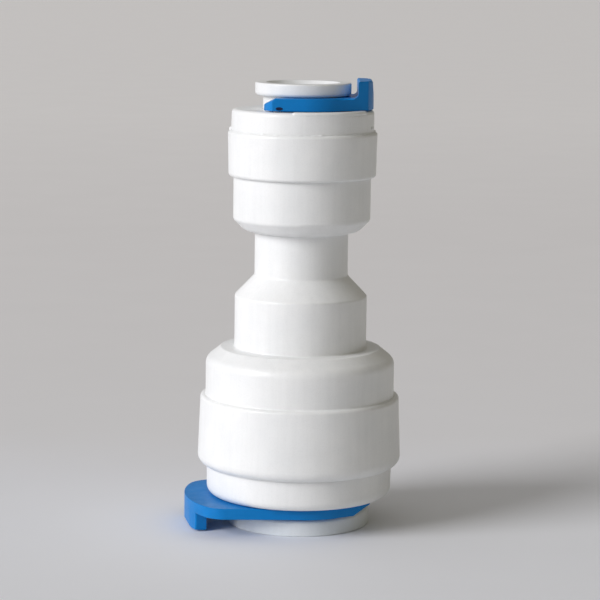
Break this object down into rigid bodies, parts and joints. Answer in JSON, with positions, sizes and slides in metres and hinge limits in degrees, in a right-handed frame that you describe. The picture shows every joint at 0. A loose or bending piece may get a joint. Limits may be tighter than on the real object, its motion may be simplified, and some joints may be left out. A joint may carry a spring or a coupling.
{
  "type": "plastic quick disconnect coupling",
  "caption": "Straight reducing push-fit coupling for plastic water tubing, white moulded body with blue locking clips and release collets",
  "frame": {"origin": "on the tube axis, in the end face of the large collet, on which the coupling stands", "axes": "+Z runs along the tube axis from the large end up to the small end; +X is where the small clip's tab points at rest"},
  "size_m": [0.0213, 0.02, 0.0439],
  "materials": {
    "body_plastic": "white moulded acetal, satin gloss",
    "collet_plastic": "white moulded acetal, satin gloss",
    "clip_plastic": "blue moulded plastic, satin",
    "seal_rubber": "black nitrile rubber, matt",
    "tooth_steel": "stainless spring steel"
  },
  "bodies": {
    "housing": {"coupling_body": "body_plastic", "small_end_cap": "body_plastic", "large_end_cap": "body_plastic", "small_o_ring": "seal_rubber", "large_o_ring": "seal_rubber"},
    "small_turning_ring": {"small_back_up_ring": "collet_plastic"},
    "large_turning_ring": {"large_back_up_ring": "collet_plastic"},
    "small_sleeve": {"small_collet": "collet_plastic", "small_grip_tooth_1": "tooth_steel", "small_grip_tooth_2": "tooth_steel", "small_grip_tooth_3": "tooth_steel", "small_grip_tooth_4": "tooth_steel"},
    "large_sleeve": {"large_collet": "collet_plastic", "large_grip_tooth_1": "tooth_steel", "large_grip_tooth_2": "tooth_steel", "large_grip_tooth_3": "tooth_steel", "large_grip_tooth_4": "tooth_steel", "large_grip_tooth_5": "tooth_steel", "large_grip_tooth_6": "tooth_steel"},
    "small_clip": {"small_locking_clip": "clip_plastic"},
    "large_clip": {"large_locking_clip": "clip_plastic"}
  },
  "joints": [
    {"name": "small_collet_turn", "type": "hinge", "parent": "housing", "child": "small_turning_ring", "pos_m": [0, 0, 0.0342], "axis": [0, 0, 1], "continuous": true},
    {"name": "large_collet_turn", "type": "hinge", "parent": "housing", "child": "large_turning_ring", "pos_m": [0, 0, 0.0107], "axis": [0, 0, 1], "continuous": true},
    {"name": "small_clip_pull", "type": "slide", "parent": "small_turning_ring", "child": "small_clip", "axis": [1, 0, 0], "range_m": [0, 0.05]},
    {"name": "large_clip_pull", "type": "slide", "parent": "large_turning_ring", "child": "large_clip", "axis": [-0.9816, -0.1908, 0], "range_m": [0, 0.05]},
    {"name": "small_collet_push", "type": "slide", "parent": "small_turning_ring", "child": "small_sleeve", "axis": [0, 0, -1], "range_m": [0, 0.0012]},
    {"name": "large_collet_push", "type": "slide", "parent": "large_turning_ring", "child": "large_sleeve", "axis": [0, 0, 1], "range_m": [0, 0.0012]}
  ],
  "couplings": [
    {"joint": "small_collet_push", "follows": "small_clip_pull", "ratio": 0.024},
    {"joint": "large_collet_push", "follows": "large_clip_pull", "ratio": 0.024}
  ]
}
